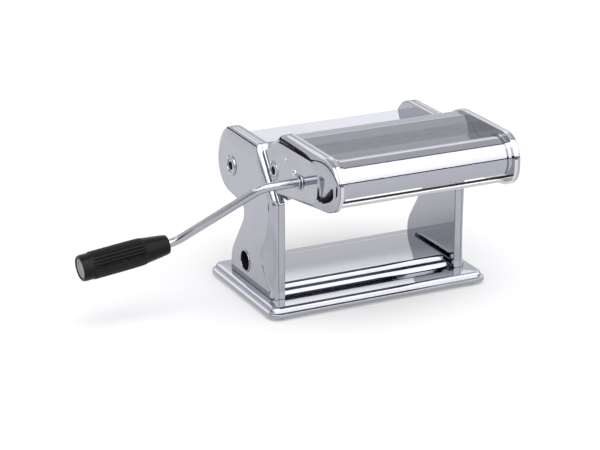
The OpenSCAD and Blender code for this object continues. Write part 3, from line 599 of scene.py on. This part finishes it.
# --- Tie rods, scrapers and bushings ----------------------------------------------------------
# Three steel rods between the towers, a nylon scraper on the lowest, and bronze bushings.
def ground_steel(name, clean, dull, low_rough, high_rough, lines, bump):
    """Steel ground or turned round the X axis: a noise that is fine along X and slow across it
    draws rings, which shift the roughness and the height of the surface."""
    made, n, shader = new_material(name)
    place = n.node("ShaderNodeTexCoord").outputs["Object"]
    drawn = n.put(n.node("ShaderNodeMapping"), {"Vector": place, "Scale": (lines, 6.0, 6.0)}).outputs[0]
    rings = n.put(n.node("ShaderNodeTexNoise"), {"Vector": drawn, "Scale": 1.0, "Detail": 5.0,
                                                 "Roughness": 0.7}).outputs[0]
    traces = n.node("ShaderNodeGroup")
    traces.node_tree = handling_traces
    n.put(traces, {"Smear Scale": 30.0, "Scratch Scale": 90.0})
    rough = n.blend(rings, low_rough, high_rough)
    rough = n.math("ADD", rough, n.math("MULTIPLY", traces.outputs["Smear"], 0.08))
    dent = n.put(n.node("ShaderNodeBump"), {"Height": rings, "Strength": 0.25, "Distance": bump})
    n.put(shader, {"Base Color": n.tint(rings, clean, dull), "Metallic": 1.0, "Roughness": rough,
                   "Normal": dent.outputs[0]})
    return made


rod_steel = ground_steel("rod_steel", (0.58, 0.58, 0.59, 1), (0.46, 0.46, 0.47, 1), 0.16, 0.34, 1800.0,
                         0.00003)
paint(rod_steel, "tie_rods", "cutter_rods", "adjuster_shaft")
nylon = moulded("cream_plastic", (0.72, 0.68, 0.56, 1), (0.62, 0.57, 0.45, 1), 0.42, 500.0, 0.0001)
paint(nylon, "roller_scrapers")


def cast_metal(name, clean, dark, low_rough, high_rough, grain):
    """Sintered or cast metal: open grain in the surface and dark oil where a slow noise is high."""
    made, n, shader = new_material(name)
    place = n.node("ShaderNodeTexCoord").outputs["Object"]
    cells = n.put(n.node("ShaderNodeTexVoronoi"), {"Vector": place, "Scale": grain}).outputs["Distance"]
    slow = n.put(n.node("ShaderNodeTexNoise"), {"Vector": place, "Scale": 90.0, "Detail": 5.0}).outputs[0]
    oil = n.step(slow, 0.42, 0.72)
    bump = n.put(n.node("ShaderNodeBump"), {"Height": cells, "Strength": 0.3, "Distance": 0.0001})
    n.put(shader, {"Base Color": n.tint(oil, clean, dark), "Metallic": 1.0,
                   "Roughness": n.blend(oil, high_rough, low_rough), "Normal": bump.outputs[0]})
    return made


bronze = cast_metal("oiled_bronze", (0.60, 0.40, 0.20, 1), (0.30, 0.19, 0.09, 1), 0.28, 0.45, 900.0)
paint(bronze, "drive_bushings", "bearing_blocks")


# --- Roller guards ----------------------------------------------------------------------------
# Two bright folded sheets that close the stand over the rollers: the rear one rises from the
# nip, bends at the top and hangs down the back; the front one slopes up towards the cutter head.
def bent_path(corners, radius, step=0.6):
    """Polyline through corners with each inner corner replaced by an arc, sampled evenly."""
    p = np.asarray(corners, float)
    out = [p[:1]]
    for a, b, c in zip(p[:-2], p[1:-1], p[2:]):
        u, v = (a - b) / np.linalg.norm(a - b), (c - b) / np.linalg.norm(c - b)
        half = math.acos(float(np.clip(u @ v, -1, 1))) / 2
        back = min(radius / math.tan(half), 0.48 * np.linalg.norm(a - b), 0.48 * np.linalg.norm(c - b))
        r = back * math.tan(half)
        centre = b + (u + v) / np.linalg.norm(u + v) * r / math.sin(half)
        first, last = b + u * back - centre, b + v * back - centre
        sweep = math.acos(float(np.clip(first @ last / (r * r), -1, 1)))
        t = np.linspace(0, 1, 12)[:, None]
        out.append(centre + (np.sin((1 - t) * sweep) * first + np.sin(t * sweep) * last) / math.sin(sweep))
    out.append(p[-1:])
    return np.concatenate(out)


def sheet_section(corners, radius, thick):
    """Closed outline of a bent sheet: the path moved half a thickness to each side along its
    normals, with a half circle round each end."""
    path = bent_path(corners, radius)
    along = np.gradient(path, axis=0)
    along /= np.linalg.norm(along, axis=1)[:, None]
    side = np.column_stack([-along[:, 1], along[:, 0]])
    t = np.linspace(0, np.pi, 7)[1:-1][:, None]
    end = path[-1] + thick / 2 * (np.cos(t) * side[-1] + np.sin(t) * along[-1])
    start = path[0] - thick / 2 * (np.cos(t) * side[0] + np.sin(t) * along[0])
    return np.concatenate([path + side * thick / 2, end, (path - side * thick / 2)[::-1], start])


def extruded(section, x0, x1):
    """Section outline in Y and Z run along X, with its two ends filled."""
    n = len(section)
    x = np.array([x0, x1])
    points = np.concatenate([np.column_stack([np.full(n, v), section]) for v in x])
    lid = np.array(tessellate_polygon([[Vector((p[0], p[1], 0)) for p in section]]))
    return points, [grid_faces(2, n), lid, lid + n]


add_piece("rear_guard", *extruded(sheet_section([
    (26, 116.4), (30, 119), (36, 120.4), (60, 124), (62.6, 122.6), (63.4, 119), (63.4, 104), (60, 96.4)],
    1.6, 1.1), -79.95, 79.95), chrome, "stand", "polished_chrome", replaces=["rear_top_panel"])
add_piece("front_guard", *extruded(sheet_section([
    (19.6, 116.4), (15.6, 119), (9.6, 120.4), (-10, 128.4), (-14.5, 127.6), (-16, 124)], 1.6, 1.1),
    -79.95, 79.95), chrome, "stand", "polished_chrome", replaces=["front_top_panel"])


# --- Smooth rollers and their gears -----------------------------------------------------------
# Two ground steel rollers in the stand, geared together in the left tower with sintered gears.
roller_steel = ground_steel("roller_steel", (0.62, 0.62, 0.63, 1), (0.54, 0.54, 0.55, 1), 0.14, 0.28,
                            1400.0, 0.00002)
paint(roller_steel, "drive_roller", "adjustable_roller")
gear_steel = cast_metal("gear_steel", (0.36, 0.35, 0.33, 1), (0.14, 0.13, 0.11, 1), 0.30, 0.48, 700.0)
paint(gear_steel, "drive_gear", "adjustable_gear", "wide_drive_gear", "wide_driven_gear",
      "narrow_drive_gear", "narrow_driven_gear", "adjuster_cams")


# --- Gap adjuster -----------------------------------------------------------------------------
# A black fluted knob on the right tower, held in by a coil spring; its pin runs in the slot of a
# satin dial plate.
def swept(path, radius, ring_points=20):
    """Round bar along a path: at each point a circle lies square to the path. Its frame comes
    from the path's direction and one fixed upward direction, and both ends are closed."""
    path = np.asarray(path, float)
    along = np.gradient(path, axis=0)
    along /= np.linalg.norm(along, axis=1)[:, None]
    spread = np.abs(along).max(0)
    up = np.eye(3)[int(np.argmin(spread))]
    side = np.cross(along, up)
    side /= np.linalg.norm(side, axis=1)[:, None]
    other = np.cross(side, along)
    radius = np.broadcast_to(radius, len(path))
    angle = np.linspace(0, 2 * np.pi, ring_points, endpoint=False)
    ring = (np.cos(angle)[None, :, None] * side[:, None] + np.sin(angle)[None, :, None] * other[:, None])
    body = path[:, None] + radius[:, None, None] * ring
    points = np.concatenate([np.repeat(path[:1, None], ring_points, 1), body,
                             np.repeat(path[-1:, None], ring_points, 1)])
    return points.reshape(-1, 3), grid_faces(len(points), ring_points)


plastic = moulded("black_plastic", (0.004, 0.004, 0.0045, 1), (0.008, 0.008, 0.008, 1), 0.24, 1500.0,
                  0.00006, gloss=0.12)
KNOB_X = 94.2
knob_profile = [(5.8, KNOB_X + 3.0), (5.8, KNOB_X + 15.4), (6.1, KNOB_X + 16.4), (7.0, KNOB_X + 16.9),
                (11.5, KNOB_X + 16.9), (13.6, KNOB_X + 16.3), (14.8, KNOB_X + 15.0), (15.3, KNOB_X + 13.0),
                (15.5, KNOB_X + 8.0), (15.6, KNOB_X + 5.0), (15.7, KNOB_X + 3.8), (16.6, KNOB_X + 3.2),
                (17.0, KNOB_X + 2.4), (17.0, KNOB_X + 0.6), (16.7, KNOB_X + 0.1), (2.7, KNOB_X + 0.1),
                (2.7, KNOB_X + 3.0)]


def knob_flutes(distance, angle):
    """Twelve shallow scallops round the grip: the radius dips by 7% in each, fading at both ends."""
    dip = 0.5 - 0.5 * np.cos(12 * angle)
    reach = smooth((distance - KNOB_X - 3.6) / 1.5) * smooth((KNOB_X + 16.6 - distance) / 1.5)
    return 1 - 0.07 * reach * dip ** 3


points, quads = turned(knob_profile, (0, *CAM), (1, 0, 0), 144, knob_flutes)
add_piece("fluted_knob", points, [quads], plastic, "knob_unit", "black_plastic", sharp=40,
          replaces=["adjuster_knob"])
turns = np.linspace(0, 7 * 2 * np.pi, 7 * 24)
coil = np.column_stack([KNOB_X + 3.7 + 8.0 * turns / turns[-1],
                        CAM[0] + 4.0 * np.cos(turns), CAM[1] + 4.0 * np.sin(turns)])
points, quads = swept(coil, 0.45, 10)
add_piece("coil_spring", points, [quads], zinc, "knob_unit", "zinc_hardware", replaces=["knob_spring"])
paint(zinc, "knob_pin")
dial_finish = plated_metal("dial_plate_finish", (0.66, 0.665, 0.675, 1), (0.60, 0.60, 0.60, 1), 0.28,
                           0.36, 40.0)
paint(dial_finish, "dial_plate")


# --- Cutter head: end caps and end plates -----------------------------------------------------
# Chromed end caps with a broad rolled edge, widest at the front, over flat steel end plates whose
# tongues hook on the stand.
nose = np.array([32.5, 42.5]) / math.hypot(32.5, 42.5)
nose_start = np.array([-44.0, 95.0]) + 0.4 * np.array([-nose[1], nose[0]])


def on_nose(z):
    """Point at height z of the line along which the caps meet the towers."""
    return nose_start + nose * (z - nose_start[1]) / nose[1]


cap_corners = [(-141, 114.2, 19), (*on_nose(102), 3), (*on_nose(134), 1.5), (-48, 156, 28), (-141, 156, 21)]
flat_corners = [(-114.5, 116.0, 11), (*(on_nose(103.4) - (1.4, 0)), 3), (-19.6, 133.4, 2.5),
                (-45.0, 147.6, 17), (-117.0, 149.0, 14)]
edge_corners = [(-117.5, 115.4, 12), (*(on_nose(102.9) - (0.9, 0)), 3), (-18.4, 134.2, 2.5),
                (-45.6, 149.4, 19), (-119.5, 150.6, 15)]


def end_cap(side, holes):
    """Cap with a roll that is narrow at the rear and grows into a broad round nose."""
    x_rim, x_face, wall = 79.65, 87.0, 1.2
    sizes = np.ones(5)
    outer = [(x_rim, offset_outline(cap_corners, 0.5 * sizes)),
             (x_rim + 0.35, offset_outline(cap_corners, 0.12 * sizes)),
             (x_rim + 0.8, offset_outline(cap_corners, 0 * sizes))]
    inner = [(x_rim, offset_outline(cap_corners, (0.5 + wall) * sizes))]
    rolled = rolled_rings(cap_corners, edge_corners, flat_corners, x_rim + 1.4, x_face - x_rim - 1.4,
                          wall, lambda outline: 0.34 + 0.1 * smooth((-90 - outline[:, 0]) / 20.0))
    for rings, made in zip((outer, inner), rolled):
        rings += [(x, outline) for x, outline, _ in made]
    outer.append((x_face, offset_outline(flat_corners, 0.5 * sizes)))
    points, faces = pressed_pan(outer, inner, holes)
    points[:, 0] *= side
    return points, faces


WIDE, NARROW = (-36.5, 121.5), (-84.0, 126.0)
add_piece("left_cap_pressing", *end_cap(-1, [(WIDE, 6.9, 0.3), (NARROW, 5.9, 0.3)]), chrome,
          "cutter_head", "polished_chrome", replaces=["cutter_cap_left"])
add_piece("right_cap_pressing", *end_cap(1, []), chrome, "cutter_head", "polished_chrome",
          replaces=["cutter_cap_right"])
paint(satin, "cutter_frame_left", "cutter_frame_right")


# --- Cutter head: rounded cover, collars, guides, rods and combs ------------------------------
# A tube-like chromed cover round the front, seated in a slightly larger collar at each end, two
# folded guide sheets, and black comb bars that lift the dough out of the grooves.
COVER = np.array([-120.0, 135.0])


def cover_section(r, thick, low, high, count=90):
    """Closed outline of an arc of sheet, by angle from straight forward: low is below, high is
    past the top; both lips are half circles."""
    angle = np.radians(180 - np.linspace(low, high, count))
    ray = np.column_stack([np.cos(angle), np.sin(angle)])
    mid, t = r - thick / 2, np.linspace(0, np.pi, 7)[1:-1][:, None]

    def lip(k, way):
        tangent = way * np.array([ray[k, 1], -ray[k, 0]])
        return COVER + mid * ray[k] + thick / 2 * (np.cos(t) * ray[k] * way + np.sin(t) * tangent)

    return np.concatenate([COVER + r * ray, lip(-1, 1), (COVER + (r - thick) * ray)[::-1], lip(0, -1)])


add_piece("rounded_cover", *extruded(cover_section(17.2, 1.2, -37, 117), -72.6, 72.6), chrome,
          "cutter_head", "polished_chrome", replaces=["cutter_front_cover"])
collar = cover_section(18.6, 2.6, -37.5, 117.5)
collars = [extruded(collar, -76.55, -72.6), extruded(collar, 72.6, 76.55)]
collar_points = np.concatenate([points for points, _ in collars])
collar_starts = (0, len(collars[0][0]))
collar_faces = [block + start for (_, faces), start in zip(collars, collar_starts) for block in faces]
add_piece("end_collars", collar_points, collar_faces, chrome, "cutter_head", "polished_chrome",
          replaces=["cutter_collars"])
add_piece("centre_guide", *extruded(sheet_section([
    (-91, 139.8), (-80, 142.6), (-70, 149.6), (-61, 153.2), (-49, 153.2), (-40, 148.5)], 3.0, 1.1),
    -76.5, 76.5), chrome, "cutter_head", "polished_chrome", replaces=["cutter_centre_guide"])
add_piece("rear_guide", *extruded(sheet_section([(-19, 139.5), (-28, 137.2), (-38, 136.4)], 3.0, 1.1),
                                  -76.5, 76.5), chrome, "cutter_head", "polished_chrome",
          replaces=["cutter_rear_guide"])
paint(plastic, "cutter_combs")


# --- Cutter head: grommets and rivets ---------------------------------------------------------
# Rolled rings round the two crank holes of the left cap, and the hollow rivets of the caps.
def grommet(at, flange, neck):
    x = 87.0
    return turned([(5.4, x - 1.8), (5.4, x + 0.5), (5.7, x + 0.85), (6.2, x + 1.0), (flange - 0.9, x + 0.85),
                   (flange - 0.2, x + 0.45), (flange, x + 0.05), (neck, x + 0.0), (neck, x - 1.8)],
                  (0, *at), (-1, 0, 0))


add_piece("crank_grommets", *joined([grommet(WIDE, 8.0, 6.8), grommet(NARROW, 6.8, 5.8)]), chrome,
          "cutter_head", "crank_chrome", replaces=["socket_grommets"])
rivets = []
for way in (-1, 1):
    rivets.append(turned([(1.6, 87.0), (1.6, 87.55), (1.9, 87.8), (2.5, 87.8), (3.0, 87.5), (3.2, 87.02)],
                         (0, -75, 131), (way, 0, 0)))
    rivets.append(turned([(0.0, 87.1), (0.5, 87.15), (1.1, 87.5), (1.6, 87.4), (1.8, 87.02), (0.0, 87.02)],
                         (0, -58.5, 137.2), (way, 0, 0)))
add_piece("hollow_rivets", *joined(rivets), zinc, "cutter_head", "zinc_hardware", replaces=["cap_rivets"])


# --- Cutters ----------------------------------------------------------------------------------
# Four grooved steel rollers, turned so that the discs of one run in the grooves of the other.
cutter_steel = ground_steel("cutter_steel", (0.58, 0.58, 0.58, 1), (0.47, 0.46, 0.45, 1), 0.20, 0.36,
                            2200.0, 0.00003)
paint(cutter_steel, "wide_drive_cutter", "wide_driven_cutter", "narrow_drive_cutter", "narrow_driven_cutter")


# --- Crank ------------------------------------------------------------------------------------
# One chromed round rod, bent twice, with a short ferrule against the grommet. A black moulded
# handle spins on its outer end: slim neck, fluted swelling, smooth collar, grey ring and plug.
THROW, ARM = 92.0, math.radians(48.2)
grip_way = np.array([-1, -0.03, -0.1])
grip_way /= np.linalg.norm(grip_way)
grip_start = np.array([-173.0, NARROW[0] + THROW * math.sin(ARM), NARROW[1] - THROW * math.cos(ARM)])
GRIP = 77.0
crank_path = bent_path([(-72.2, *NARROW), (-120, *NARROW), grip_start - 7 * grip_way,
                        grip_start + (GRIP - 5) * grip_way], 15.0)
fine_path = np.concatenate([np.linspace(a, b, max(2, int(np.linalg.norm(b - a) / 3)), endpoint=False)
                            for a, b in zip(crank_path[:-1], crank_path[1:])] + [crank_path[-1:]])
points, quads = swept(fine_path, 3.6, 32)
add_piece("bent_rod", points, [quads], chrome, "crank", "crank_chrome", replaces=["crank_rod"])
ferrule = [(3.62, 88.3), (3.62, 89.6), (4.4, 89.6), (5.0, 89.4), (5.25, 89.0), (5.1, 88.6), (4.7, 88.35)]
add_piece("rod_ferrule", *joined([turned(ferrule, (0, *NARROW), (-1, 0, 0))]), chrome, "crank",
          "crank_chrome", replaces=["crank_ferrule"])
grip_profile = [(3.75, 0.2), (7.2, 0.05), (7.8, 0.3), (8.05, 0.9), (8.3, 2.0), (8.9, 6.0), (9.5, 11.0),
                (10.1, 16.0), (10.6, 20.0), (10.75, 21.0), (10.9, 21.6), (11.1, 22.4), (11.25, 24.0),
                (11.4, 28.0), (11.5, 36.0), (11.5, 46.0), (11.5, 56.0), (11.48, 64.0), (11.45, 66.8),
                (11.3, 67.5), (11.0, 67.9), (10.85, 68.4), (10.95, 70.0), (10.95, 73.0), (10.85, 75.2),
                (10.5, 76.3), (10.0, 76.8), (8.4, 76.8), (8.2, 76.4), (8.2, 74.2), (5.6, 74.0), (5.6, 70.8),
                (3.75, 70.6)]


def grip_flutes(distance, angle):
    """Twenty-six grooves along the swelling: each dips the radius by 8% over half of its pitch,
    and fades out at both ends of the swelling."""
    dip = np.clip((np.cos(26 * angle) + 0.1) / 1.1, 0, 1) ** 0.8
    reach = smooth((distance - 21.2) / 1.4) * smooth((67.8 - distance) / 1.0)
    return 1 - 0.08 * reach * dip


grip_profile = np.array(grip_profile)
# Long straight stretches are cut into steps of about 2 mm, so that the grooves bend smoothly
fine = np.concatenate([np.linspace(a, b, max(1, int((b[1] - a[1]) / 2)), endpoint=False)
                       if b[1] - a[1] > 3 else np.array([a])
                       for a, b in zip(grip_profile[:-1], grip_profile[1:])] + [grip_profile[-1:]])
points, quads = turned(fine, grip_start, grip_way, 320, grip_flutes)
add_piece("fluted_handle", points, [quads], plastic, "crank_handle", "black_plastic", sharp=40,
          replaces=["crank_grip"])
grey_plastic = moulded("grey_plastic", (0.20, 0.20, 0.205, 1), (0.28, 0.28, 0.28, 1), 0.45, 800.0, 0.0001)
ring_cap = [(0.0, 74.2), (0.0, 74.9), (6.1, 74.9), (6.4, 75.1), (6.5, 75.9), (6.8, 76.15), (7.7, 76.15),
            (8.1, 75.9), (8.15, 75.2), (8.1, 74.2)]
points, quads = turned(ring_cap, grip_start, grip_way)
add_piece("handle_ring", points, [quads], grey_plastic, "crank_handle", "grey_plastic", replaces=["grip_cap"])
paint(zinc, "grip_washer")
